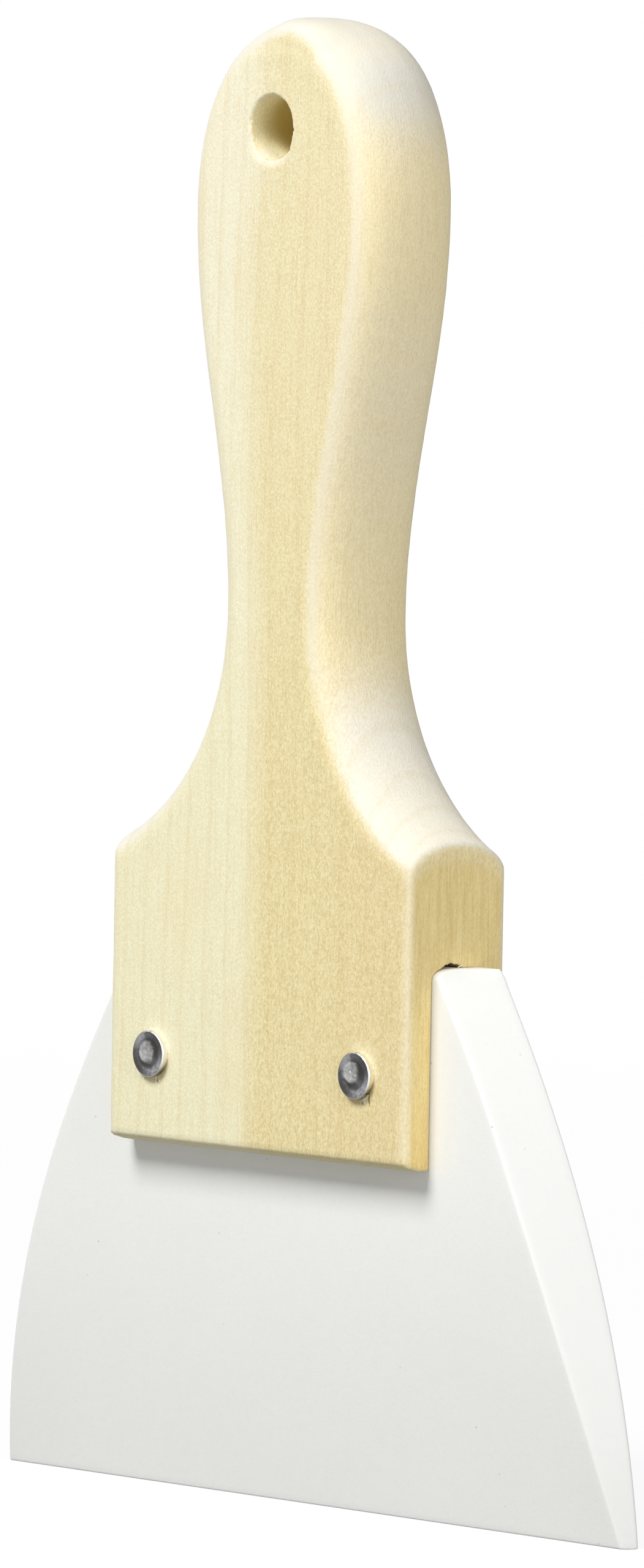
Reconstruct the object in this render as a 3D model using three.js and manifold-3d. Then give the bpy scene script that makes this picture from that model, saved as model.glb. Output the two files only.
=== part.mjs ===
// Scraper spatula with a wooden handle: a fan-shaped silicone blade sits in a slot
// across the handle's lower end and is held there by two rivets.
// Millimetres, +Z up along the handle, +X across the blade, front face towards -Y.
// The origin is under the middle of the blade's working edge.
import * as THREE from 'three';
import { mergeVertices } from 'three/addons/utils/BufferGeometryUtils.js';
import Module from 'manifold-3d';

// Blade
const BLADE_HEIGHT = 79.3;
const BLADE_THICKNESS = 9.0;
const BLADE_EDGE_THICKNESS = 2.5;
const BLADE_EDGE_WIDTH = 135.0;
const BLADE_TOP_WIDTH = 74.0;
// How far the sides bow out from straight lines at half height
const BLADE_SIDE_BOW = 5.4;
// The sides lean in towards the front by this much for each millimetre of depth
const BLADE_SIDE_DRAFT = 0.42;
// Height of the stretch in which the front sweeps back to the working edge
const BLADE_SWEEP_HEIGHT = 55.0;
// The top is square at the back and rounded off towards the front
const BLADE_TOP_ROUND_DEPTH = 3.2;
const BLADE_TOP_ROUND_HEIGHT = 1.4;

// Handle
const OVERALL_LENGTH = 214.0;
const STOCK_THICKNESS = 19.0;
const BLOCK_WIDTH = 64.4;
const BLOCK_BOTTOM = 50.8;
const BLOCK_EDGE_RADIUS = 1.2;
const CHEEK_BEVEL_HEIGHT = 1.2;
const CHEEK_BEVEL_DEPTH = 3.0;
const GRIP_WIDTH = 40.5;
// The grip and neck stand this far to the right of the block's middle
const GRIP_OFFSET = 1.0;
// From the grip's widest place to the top
const CROWN_HEIGHT = 28.0;
// How squarely the crown's curves leave its sides and top, as a share: 0.55 is an ellipse
const CROWN_PULL = 0.605;
const NECK_WIDTH = 24.3;
const NECK_HEIGHT = 128.8;
// Upright pull at each end of the S-curve between neck and grip, as a share of its height
const GRIP_CURVE_PULL = 0.36;
const FLARE_RADIUS = 35.4;
// The grip's edges are half ellipses, this deep and with a narrow flat band in the middle
const EDGE_ROUND_DEPTH = 4.5;
const EDGE_BAND = 0.5;
const HANG_HOLE_DIAMETER = 9.0;
// From the top to the hole's centre
const HANG_HOLE_DROP = 15.7;

// Rivets
const RIVET_SPACING = 44.6;
const RIVET_HEIGHT = 64.0;
const RIVET_SHANK_DIAMETER = 4.0;
const RIVET_HEAD_DIAMETER = 6.9;
const RIVET_HEAD_HEIGHT = 1.2;
const RIVET_HEAD_EDGE_RADIUS = 0.3;
// The set head has a ring groove round a raised middle
const RIVET_RING_RADIUS = 1.8;
const RIVET_RING_WIDTH = 0.8;
const RIVET_RING_DEPTH = 0.25;

// Clearances
const SLOT_SIDE_CLEARANCE = 0.15;
const SLOT_ROOF_CLEARANCE = 0.2;
const RIVET_HOLE_CLEARANCE = 0.15;
const RIVET_SEAT_CLEARANCE = 0.1;

// Cutters run past the faces that they cut by this much
const OVERCUT = 2.0;
// An odd count keeps the points off the middle of the grip's S-curve, where it is straight
const OUTLINE_STEPS = 17;
const EDGE_STEPS = 5;
const ROUND_STEPS = 28;

// Worked-out sizes
const GRIP_WIDEST_HEIGHT = OVERALL_LENGTH - CROWN_HEIGHT;
const HANG_HOLE_HEIGHT = OVERALL_LENGTH - HANG_HOLE_DROP;
const SLOT_WIDTH = BLADE_THICKNESS + 2 * SLOT_SIDE_CLEARANCE;
const RIVET_HOLE_RADIUS = RIVET_SHANK_DIAMETER / 2 + RIVET_HOLE_CLEARANCE;
const RIVET_XS = { rivet_left: -RIVET_SPACING / 2, rivet_right: RIVET_SPACING / 2 };

const wasm = await Module();
wasm.setup();

// A closed geometry as a solid that can be joined and cut
function solidOf(geometry) {
  const bare = geometry.index ? geometry.toNonIndexed() : geometry.clone();
  bare.deleteAttribute('normal');
  bare.deleteAttribute('uv');
  const merged = mergeVertices(bare, 1e-4);
  return new wasm.Manifold(new wasm.Mesh({
    numProp: 3,
    vertProperties: new Float32Array(merged.attributes.position.array),
    triVerts: new Uint32Array(merged.index.array),
  }));
}

function geometryOf(solid) {
  const mesh = solid.getMesh();
  const geometry = new THREE.BufferGeometry();
  geometry.setAttribute('position', new THREE.BufferAttribute(mesh.vertProperties, 3));
  geometry.setIndex(new THREE.BufferAttribute(mesh.triVerts, 1));
  geometry.computeVertexNormals();
  return geometry;
}

// A front-view outline (across, up) extruded through the thickness, middle at y = 0
function extrudeFront(shape, depth, bevel = {}) {
  const geometry = new THREE.ExtrudeGeometry(shape, {
    depth, bevelEnabled: false, curveSegments: OUTLINE_STEPS, ...bevel,
  });
  geometry.translate(0, 0, -depth / 2);
  geometry.rotateX(Math.PI / 2);
  return geometry;
}

// A side-view outline (depth, up) extruded across the width, middle at x = 0
function extrudeSide(shape, width) {
  const geometry = new THREE.ExtrudeGeometry(shape, {
    depth: width, bevelEnabled: false, curveSegments: OUTLINE_STEPS,
  });
  geometry.translate(0, 0, -width / 2);
  geometry.rotateX(Math.PI / 2);
  geometry.rotateZ(Math.PI / 2);
  return geometry;
}

function crossHole(radius, x, z) {
  const geometry = new THREE.CylinderGeometry(
    radius, radius, STOCK_THICKNESS + 2 * OVERCUT, ROUND_STEPS);
  geometry.translate(x, 0, z);
  return solidOf(geometry);
}

function cutRivetHoles(solid) {
  let cut = solid;
  for (const x of Object.values(RIVET_XS)) {
    cut = cut.subtract(crossHole(RIVET_HOLE_RADIUS, x, RIVET_HEIGHT));
  }
  return cut;
}

// Half width of the blade's back at a height: straight lines bowed into parabolas
function bladeHalfWidth(z) {
  const share = z / BLADE_HEIGHT;
  const straight = THREE.MathUtils.lerp(BLADE_EDGE_WIDTH, BLADE_TOP_WIDTH, share) / 2;
  return straight + 4 * BLADE_SIDE_BOW * share * (1 - share);
}

// The fan outline overruns the blade's top and bottom, so that only its sides are drafted
function fanOutline(overrun) {
  const heights = [-overrun];
  for (let step = 0; step <= OUTLINE_STEPS; step += 1) {
    heights.push(BLADE_HEIGHT * step / OUTLINE_STEPS);
  }
  heights.push(BLADE_HEIGHT + overrun);
  const right = heights.map((z) => new THREE.Vector2(bladeHalfWidth(z), z));
  const left = right.map((point) => new THREE.Vector2(-point.x, point.y)).reverse();
  return new THREE.Shape([...right, ...left]);
}

// The top of a side view, from the square back corner round to the front
function addRoundedTop(shape, half, top) {
  const centre = -half + BLADE_TOP_ROUND_DEPTH;
  const spring = top - BLADE_TOP_ROUND_HEIGHT;
  shape.lineTo(half, top);
  shape.absellipse(
    centre, spring, BLADE_TOP_ROUND_DEPTH, BLADE_TOP_ROUND_HEIGHT, Math.PI / 2, Math.PI);
}

// Flat back, rounded top, and a front that sweeps back to the thin working edge
function bladeSideShape() {
  const half = BLADE_THICKNESS / 2;
  const shape = new THREE.Shape();
  shape.moveTo(half - BLADE_EDGE_THICKNESS, 0);
  shape.lineTo(half, 0);
  addRoundedTop(shape, half, BLADE_HEIGHT);
  shape.lineTo(-half, BLADE_SWEEP_HEIGHT);
  shape.quadraticCurveTo(-half, BLADE_SWEEP_HEIGHT / 2, half - BLADE_EDGE_THICKNESS, 0);
  return shape;
}

function bladeSolid() {
  const draftDepth = BLADE_THICKNESS + OVERCUT;
  const draftWidth = draftDepth * BLADE_SIDE_DRAFT;
  const fan = extrudeFront(fanOutline(draftWidth + OVERCUT), OVERCUT, {
    bevelEnabled: true,
    bevelThickness: draftDepth,
    bevelSize: draftWidth,
    bevelOffset: -draftWidth,
    bevelSegments: 1,
  });
  fan.translate(0, BLADE_THICKNESS / 2 + OVERCUT / 2, 0);
  const slab = extrudeSide(bladeSideShape(), BLADE_EDGE_WIDTH + 2 * OVERCUT);
  return cutRivetHoles(solidOf(fan).intersect(solidOf(slab)));
}

// Where the flare on one side is centred, and the angle that it turns through
function flareArc(side, reach) {
  const centre = GRIP_OFFSET + side * (NECK_WIDTH / 2 + FLARE_RADIUS);
  const turn = Math.acos((side * centre - reach) / FLARE_RADIUS);
  return { centre, turn };
}

// Front outline of the handle: block, flare, neck, grip and rounded crown.
// Below the flare it stands clear of the block's sides, which are cut flat afterwards.
function handleOutline() {
  const middle = GRIP_OFFSET;
  const neck = NECK_WIDTH / 2;
  const grip = GRIP_WIDTH / 2;
  const outer = BLOCK_WIDTH / 2 + EDGE_ROUND_DEPTH + OVERCUT;
  const right = flareArc(1, outer);
  const left = flareArc(-1, outer);
  const pull = GRIP_CURVE_PULL * (GRIP_WIDEST_HEIGHT - NECK_HEIGHT);
  const neckPull = NECK_HEIGHT + pull;
  const gripPull = GRIP_WIDEST_HEIGHT - pull;
  const crownPull = GRIP_WIDEST_HEIGHT + CROWN_PULL * CROWN_HEIGHT;
  const topPull = CROWN_PULL * grip;
  const low = BLOCK_BOTTOM - OVERCUT - EDGE_ROUND_DEPTH;
  const shape = new THREE.Shape();
  shape.moveTo(-outer, low);
  shape.lineTo(outer, low);
  shape.absarc(right.centre, NECK_HEIGHT, FLARE_RADIUS, Math.PI + right.turn, Math.PI, true);
  shape.bezierCurveTo(
    middle + neck, neckPull, middle + grip, gripPull, middle + grip, GRIP_WIDEST_HEIGHT);
  shape.bezierCurveTo(
    middle + grip, crownPull, middle + topPull, OVERALL_LENGTH, middle, OVERALL_LENGTH);
  shape.bezierCurveTo(
    middle - topPull, OVERALL_LENGTH, middle - grip, crownPull, middle - grip, GRIP_WIDEST_HEIGHT);
  shape.bezierCurveTo(
    middle - grip, gripPull, middle - neck, neckPull, middle - neck, NECK_HEIGHT);
  shape.absarc(left.centre, NECK_HEIGHT, FLARE_RADIUS, 0, -left.turn, true);
  shape.lineTo(-outer, low);
  return shape;
}

// Section of the block: a rectangle with softened upright edges
function blockColumn() {
  const x = BLOCK_WIDTH / 2;
  const y = STOCK_THICKNESS / 2;
  const r = BLOCK_EDGE_RADIUS;
  const shape = new THREE.Shape();
  shape.moveTo(-x + r, -y);
  shape.absarc(x - r, -y + r, r, -Math.PI / 2, 0);
  shape.absarc(x - r, y - r, r, 0, Math.PI / 2);
  shape.absarc(-x + r, y - r, r, Math.PI / 2, Math.PI);
  shape.absarc(-x + r, -y + r, r, Math.PI, 1.5 * Math.PI);
  const geometry = new THREE.ExtrudeGeometry(shape, {
    depth: OVERALL_LENGTH + OVERCUT, bevelEnabled: false, curveSegments: EDGE_STEPS,
  });
  return solidOf(geometry);
}

// Side view of the handle: the cheeks' lower ends are bevelled on the outside
function handleSideShape() {
  const y = STOCK_THICKNESS / 2;
  const top = OVERALL_LENGTH + OVERCUT;
  const bevelTop = BLOCK_BOTTOM + CHEEK_BEVEL_HEIGHT;
  const shape = new THREE.Shape();
  shape.moveTo(-y + CHEEK_BEVEL_DEPTH, BLOCK_BOTTOM);
  shape.lineTo(y - CHEEK_BEVEL_DEPTH, BLOCK_BOTTOM);
  shape.lineTo(y, bevelTop);
  shape.lineTo(y, top);
  shape.lineTo(-y, top);
  shape.lineTo(-y, bevelTop);
  return shape;
}

// The slot follows the blade's top
function slotShape() {
  const half = SLOT_WIDTH / 2;
  const low = BLOCK_BOTTOM - OVERCUT;
  const shape = new THREE.Shape();
  shape.moveTo(-half, low);
  shape.lineTo(half, low);
  addRoundedTop(shape, half, BLADE_HEIGHT + SLOT_ROOF_CLEARANCE);
  return shape;
}

function handleSolid() {
  const body = extrudeFront(handleOutline(), EDGE_BAND, {
    bevelEnabled: true,
    bevelThickness: (STOCK_THICKNESS - EDGE_BAND) / 2,
    bevelSize: EDGE_ROUND_DEPTH,
    bevelOffset: -EDGE_ROUND_DEPTH,
    bevelSegments: EDGE_STEPS,
  });
  const side = extrudeSide(handleSideShape(), BLOCK_WIDTH + 2 * OVERCUT);
  const slot = extrudeSide(slotShape(), BLOCK_WIDTH + 2 * OVERCUT);
  const shaped = solidOf(body).intersect(blockColumn()).intersect(solidOf(side));
  const slotted = shaped.subtract(solidOf(slot));
  const hung = slotted.subtract(crossHole(HANG_HOLE_DIAMETER / 2, 0, HANG_HOLE_HEIGHT));
  return cutRivetHoles(hung);
}

// One rivet turned about Y: plain head at the back, set head with its ring at the front
function rivetGeometry() {
  const shank = RIVET_SHANK_DIAMETER / 2;
  const head = RIVET_HEAD_DIAMETER / 2;
  const soft = RIVET_HEAD_EDGE_RADIUS;
  const seat = STOCK_THICKNESS / 2 + RIVET_SEAT_CLEARANCE;
  const face = seat + RIVET_HEAD_HEIGHT;
  const ringIn = RIVET_RING_RADIUS - RIVET_RING_WIDTH / 2;
  const ringOut = RIVET_RING_RADIUS + RIVET_RING_WIDTH / 2;
  const profile = new THREE.Path();
  profile.moveTo(0, -face);
  profile.lineTo(ringIn, -face);
  profile.quadraticCurveTo(RIVET_RING_RADIUS, -face + 2 * RIVET_RING_DEPTH, ringOut, -face);
  profile.lineTo(head - soft, -face);
  profile.quadraticCurveTo(head, -face, head, -face + soft);
  profile.lineTo(head, -seat);
  profile.lineTo(shank, -seat);
  profile.lineTo(shank, seat);
  profile.lineTo(head, seat);
  profile.lineTo(head, face - soft);
  profile.quadraticCurveTo(head, face, head - soft, face);
  profile.lineTo(0, face);
  return new THREE.LatheGeometry(profile.getPoints(EDGE_STEPS), ROUND_STEPS);
}

function piece(name, geometry, look) {
  const mesh = new THREE.Mesh(geometry, new THREE.MeshStandardMaterial(look));
  mesh.name = name;
  return mesh;
}

const spatula = new THREE.Group();
spatula.add(piece('handle', geometryOf(handleSolid()), {
  color: 0xe9dcb0, roughness: 0.75, metalness: 0.0,
}));
spatula.add(piece('blade', geometryOf(bladeSolid()), {
  color: 0xf0f0ec, roughness: 0.5, metalness: 0.0,
}));
for (const [name, x] of Object.entries(RIVET_XS)) {
  const rivet = piece(name, rivetGeometry(), {
    color: 0x8d8a84, roughness: 0.4, metalness: 1.0,
  });
  rivet.position.set(x, 0, RIVET_HEIGHT);
  spatula.add(rivet);
}

export default spatula;
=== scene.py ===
import random
from math import cos, pi, radians, sin, tau

import bmesh
import bpy
import numpy as np
from mathutils import Matrix, Vector, noise


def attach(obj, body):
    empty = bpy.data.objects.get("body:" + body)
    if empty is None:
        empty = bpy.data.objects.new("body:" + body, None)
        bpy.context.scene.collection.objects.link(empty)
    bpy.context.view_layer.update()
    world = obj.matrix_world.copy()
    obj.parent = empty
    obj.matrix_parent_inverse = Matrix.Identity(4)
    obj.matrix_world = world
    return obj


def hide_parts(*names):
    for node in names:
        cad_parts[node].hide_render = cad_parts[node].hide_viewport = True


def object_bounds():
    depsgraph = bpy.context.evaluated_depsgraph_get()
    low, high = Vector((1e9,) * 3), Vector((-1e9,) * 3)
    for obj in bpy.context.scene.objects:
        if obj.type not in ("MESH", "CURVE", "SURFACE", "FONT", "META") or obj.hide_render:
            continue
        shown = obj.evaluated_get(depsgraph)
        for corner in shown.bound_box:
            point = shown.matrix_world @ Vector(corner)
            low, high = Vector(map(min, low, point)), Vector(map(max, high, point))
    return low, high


# Scraper spatula: a waisted wooden handle, a fan-shaped silicone blade in a slot across
# its lower end, and two set rivets. Shapes are worked out in millimetres, as in the
# frame: +X across the blade, front towards -Y, +Z up along the handle.
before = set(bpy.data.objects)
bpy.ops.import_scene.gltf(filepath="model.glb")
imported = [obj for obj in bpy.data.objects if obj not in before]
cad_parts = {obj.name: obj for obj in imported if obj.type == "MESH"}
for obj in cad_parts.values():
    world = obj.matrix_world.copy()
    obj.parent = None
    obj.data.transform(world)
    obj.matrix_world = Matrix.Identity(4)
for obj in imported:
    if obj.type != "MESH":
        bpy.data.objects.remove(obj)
cad_low, cad_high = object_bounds()

MM = 0.001

# Camera, at the photograph's viewing angle
CAMERA_AZIMUTH = radians(48.30)
CAMERA_ELEVATION = radians(3.2475)
CAMERA_ROLL = radians(1.0068)
CAMERA_AIM = Vector((1.487, 1.164, 104.075)) * MM
CAMERA_DISTANCE = 1.77026
CAMERA_LENS = 283.056
CAMERA_SENSOR = 36
CAMERA_REACH = 100

# Studio
LAMP_AIM = Vector((0.0, 0.0, 0.1))
# Lamps: place, width and height in metres, power in watts
LAMPS = {
    "softbox": ((-0.05, -1.02, 1.20), 0.6, 0.6, 22.4),
    "top_right": ((1.2, -0.4, 1.0), 0.8, 0.8, 1.8),
    "right_fill": ((1.9, -0.2, 0.50), 1.0, 0.8, 13.9),
}
WORLD_LEVEL = 0.19
# Floor, in metres: near the part this share of it looks plain white and the rest takes the
# shadow, which fades out between the two distances
FLOOR_HALF = 20.0
FLOOR_BOUNCE = 0.45
FLOOR_WHITE = 0.92
FLOOR_SHADOW_NEAR = 0.15
FLOOR_SHADOW_FAR = 0.9

# Handle
WOOD_VOXEL = 0.6
STOCK_HALF = 9.5
BLOCK_HALF = 32.2
# The flat block sides end below this height, and the slot's walls and roof lie within these
BLOCK_TOP = 104.0
SLOT_REACH = 6.0
SLOT_TOP = 81.0
# The cheeks' lower ends stay sharp below this height
FOOT_TOP = 53.0
# Above this height, what faces up is wood cut across the grain
CROSS_GRAIN_LOW = 86.0
# The grip's edges are worn pale from here up
EDGE_WEAR_LOW = 110.0
EDGE_WEAR_HIGH = 124.0
NECK_HEIGHT = 128.8
FLARE_RADIUS = 35.4
FLARE_CENTRES = {1: 48.55, -1: 46.55}
EDGE_ROUND_DEPTH = 4.5
GRIP_HALF = 20.25
GRIP_OFFSET = 1.0
CROWN_BASE = 186.0
CROWN_TOP = 214.0
CROWN_PULL = 0.605
# The grip's edges are half ellipses (power 2), and squarer by this much at the crown's front
CROWN_SQUARENESS = 2.0
# The bevels under the cheeks: depth at which they start, top, and how much thinner they are cut
BEVEL_INNER = 6.5
BEVEL_TOP = 52.0
BEVEL_DROP = 0.35
HOLE_CENTRE = (0.0, 198.3)
HOLE_RADIUS = 4.5
HOLE_RIM_RADIUS = 4.45
# Half size of the finely meshed square round the hang hole, and how far its lower lip is worn
HOLE_ZONE = 7.0
LIP_WEAR = 0.5
LIP_DEPTH = 1.2
# Chips round the hang hole's rim: angle from +X, half width in degrees, depth
HOLE_CHIPS = (
    (86, 3, 0.15), (170, 3, 0.28), (178, 4, 0.2), (-6, 3, 0.4), (-14, 3, 0.15), (-42, 4, 0.25))
# Splits beside the rivet heads, darkened with painted shade: x and z of both ends, half width, depth
CRACKS = (
    (24.3, 62.0, 24.75, 59.2, 0.28, 0.5),
    (23.1, 60.4, 23.3, 59.8, 0.16, 0.25),
    (-23.8, 60.6, -24.0, 59.9, 0.18, 0.3),
    (-21.4, 60.4, -20.9, 59.6, 0.16, 0.3))
# Torn slivers: root and tip (x, y, z), width
SLIVERS = (
    ((24.15, -9.44, 61.9), (23.65, -9.56, 60.0), 0.5),
    ((23.8, -9.44, 61.4), (23.35, -9.55, 60.35), 0.4),
    ((24.45, -9.44, 61.7), (24.05, -9.53, 60.6), 0.4),
    ((23.1, -9.44, 60.9), (22.9, -9.52, 60.0), 0.3),
    ((-22.0, -9.44, 61.3), (-21.4, -9.56, 60.4), 0.5),
    ((-21.0, -9.44, 60.5), (-20.65, -9.52, 59.8), 0.3),
    ((32.1, 0.9, 79.8), (32.15, 1.6, 80.4), 0.2),
    ((32.1, 0.3, 79.7), (32.15, 1.2, 80.1), 0.16))
HOLE_FIBRES = 40
# The cheeks' squeeze on the blade, and the ragged gap's height over it
CHEEK_SQUEEZE = 0.2
GAP_LIFT = 0.75
# Hand sanding: long and short waves, and the little wood it takes off
SANDING_WAVE = 0.05
SANDING_RIPPLE = 0.02
SANDING_LOSS = 0.03

# Blade
BLADE_HEIGHT = 79.3
BLADE_HALF = 4.5
BLADE_EDGE_THICKNESS = 2.5
BLADE_EDGE_WIDTH = 135.0
BLADE_TOP_WIDTH = 74.0
BLADE_SIDE_BOW = 5.4
BLADE_SIDE_DRAFT = 0.42
BLADE_SWEEP_HEIGHT = 55.0
BLADE_TOP_ROUND_DEPTH = 3.2
BLADE_TOP_ROUND_HEIGHT = 1.4
BLADE_CORNER_RADIUS = 0.5
BLADE_EDGE_SOFT = 0.3
BLADE_TOP_SOFT = 1.6
BLADE_TOP_LIFT = 0.3
BLADE_LEVELS = 100
# Points along each level's back, left side, front and right side
BLADE_STEPS = (110, 10, 110, 10)
# Dust on the silicone: cells per millimetre, share of cells left clean, darkness
BLADE_DUST = ((0.20, 0.72, 0.5), (0.37, 0.86, 0.35))

# Rivets
RIVET_XS = {"rivet_left": -22.3, "rivet_right": 22.3}
RIVET_HEIGHT = 64.0
RIVET_SEAT = 9.3
RIVET_FACE = 10.5
RIVET_HEAD_RADIUS = 3.4
RIVET_EDGE_RADIUS = 0.22
RIVET_SHANK_RADIUS = 2.0
RIVET_TURNS = 96
RIVET_FACE_RINGS = 44
RIVET_BACK_RINGS = 20
RIVET_BACK_RIM = 0.8
RIVET_BACK_DOME = 0.6


def smoothstep(low, high, value):
    share = np.clip((value - low) / (high - low), 0.0, 1.0)
    return share * share * (3 - 2 * share)


def ripple(points, scale, seed):
    """Smooth noise between -1 and 1 at each point, with features of about scale mm."""
    shift = Vector((seed * 17.3, seed * 5.9, seed * 11.1))
    return np.array([noise.noise(Vector(p) / scale + shift) for p in points.tolist()])


def points_of(mesh):
    flat = np.empty(len(mesh.vertices) * 3)
    mesh.vertices.foreach_get("co", flat)
    return flat.reshape(-1, 3) / MM


def normals_of(mesh):
    flat = np.empty(len(mesh.vertices) * 3)
    mesh.vertices.foreach_get("normal", flat)
    return flat.reshape(-1, 3)


def edges_of(mesh):
    flat = np.empty(len(mesh.edges) * 2, dtype=np.int32)
    mesh.edges.foreach_get("vertices", flat)
    return flat.reshape(-1, 2)


def put_points(mesh, points):
    mesh.vertices.foreach_set("co", (points * MM).ravel())
    mesh.update()


def put_attribute(mesh, name, values):
    layer = mesh.attributes.new(name, "FLOAT", "POINT")
    layer.data.foreach_set("value", np.asarray(values, dtype=np.float32))


def mean_of_neighbours(values, edges, degree):
    count = len(values)
    total = np.empty_like(values)
    for axis in range(values.shape[1]):
        column = values[:, axis]
        total[:, axis] = (np.bincount(edges[:, 0], column[edges[:, 1]], count)
                          + np.bincount(edges[:, 1], column[edges[:, 0]], count))
    return total / degree[:, None]


def relax(points, edges, weight, rounds):
    """Smooths facets away without shrinking: each pull is followed by a push back."""
    degree = np.maximum(np.bincount(edges.ravel(), minlength=len(points)), 1)
    for _ in range(rounds):
        for share in (0.5, -0.52):
            step = mean_of_neighbours(points, edges, degree) - points
            points = points + share * weight[:, None] * step
    return points


def add_object(name, mesh):
    piece = bpy.data.objects.new(name, mesh)
    bpy.context.scene.collection.objects.link(piece)
    mesh.polygons.foreach_set("use_smooth", [True] * len(mesh.polygons))
    return piece


def add_piece(name, mesh, node, material):
    piece = add_object(name, mesh)
    mesh.materials.clear()
    mesh.materials.append(material)
    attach(piece, "root")
    if node:
        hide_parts(node)


def mesh_from(name, points, faces):
    mesh = bpy.data.meshes.new(name)
    mesh.from_pydata([tuple(c * MM for c in p) for p in points], [], faces)
    bm = bmesh.new()
    bm.from_mesh(mesh)
    bmesh.ops.recalc_face_normals(bm, faces=bm.faces)
    bm.to_mesh(mesh)
    bm.free()
    mesh.update()
    return mesh


def dense_copy(node, voxel):
    """The solid of a CAD node as an even mesh that can take fine detail."""
    draft = bpy.data.objects.new("draft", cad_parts[node].data.copy())
    bpy.context.scene.collection.objects.link(draft)
    bm = bmesh.new()
    bm.from_mesh(draft.data)
    bmesh.ops.remove_doubles(bm, verts=bm.verts, dist=1e-6)
    bm.to_mesh(draft.data)
    bm.free()
    remesh = draft.modifiers.new("even", "REMESH")
    remesh.mode = "VOXEL"
    remesh.voxel_size = voxel * MM
    graph = bpy.context.evaluated_depsgraph_get()
    mesh = bpy.data.meshes.new_from_object(draft.evaluated_get(graph))
    bpy.data.objects.remove(draft)
    return mesh


def subdivide_where(mesh, inside, cuts):
    """Cuts the edges whose two ends are inside a region."""
    bm = bmesh.new()
    bm.from_mesh(mesh)
    chosen = [e for e in bm.edges if inside(e.verts[0].co / MM) and inside(e.verts[1].co / MM)]
    bmesh.ops.subdivide_edges(bm, edges=chosen, cuts=cuts, use_grid_fill=True)
    bmesh.ops.triangulate(bm, faces=[f for f in bm.faces if len(f.verts) > 4])
    bm.to_mesh(mesh)
    bm.free()
    mesh.update()


class Shader:
    """A node material: values are numbers, colours or another node's output."""

    def __init__(self, name):
        self.material = bpy.data.materials.new(name)
        self.material.use_nodes = True
        self.tree = self.material.node_tree
        self.tree.nodes.clear()

    def put(self, socket, value):
        if isinstance(value, bpy.types.NodeSocket):
            self.tree.links.new(value, socket)
        else:
            socket.default_value = value

    def add(self, kind, values=None, **settings):
        node = self.tree.nodes.new("ShaderNode" + kind)
        for name, setting in settings.items():
            setattr(node, name, setting)
        for key, value in (values or {}).items():
            self.put(node.inputs[key], value)
        return node

    def math(self, operation, *values):
        return self.add("Math", dict(enumerate(values)), operation=operation).outputs[0]

    def mix(self, factor, first, second, blend="MIX"):
        values = {0: factor, 6: first, 7: second}
        return self.add("Mix", values, data_type="RGBA", blend_type=blend).outputs[2]

    def rise(self, value, low, high):
        values = {0: value, 1: low, 2: high}
        return self.add("MapRange", values, interpolation_type="SMOOTHSTEP").outputs[0]

    def scaled(self, vector, factors):
        return self.add("VectorMath", {0: vector, 1: factors}, operation="MULTIPLY").outputs[0]

    def grain(self, vector, factors, detail=2.0, roughness=0.5):
        values = {"Vector": self.scaled(vector, factors), "Scale": 1.0,
                  "Detail": detail, "Roughness": roughness}
        return self.add("TexNoise", values).outputs["Fac"]

    def cells(self, vector, factors):
        values = {"Vector": self.scaled(vector, factors), "Scale": 1.0}
        return self.add("TexVoronoi", values)

    def attribute(self, name):
        return self.add("Attribute", attribute_name=name).outputs["Fac"]

    def millimetres(self):
        return self.scaled(self.add("TexCoord").outputs["Object"], (1000, 1000, 1000))

    def finish(self, surface, bump=None, distance=0.0):
        if bump is not None:
            node = self.add("Bump", {"Height": bump, "Strength": 1.0, "Distance": distance})
            self.put(surface.inputs["Normal"], node.outputs[0])
        output = self.add("OutputMaterial")
        self.put(output.inputs["Surface"], surface.outputs[0])
        return self.material


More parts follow.
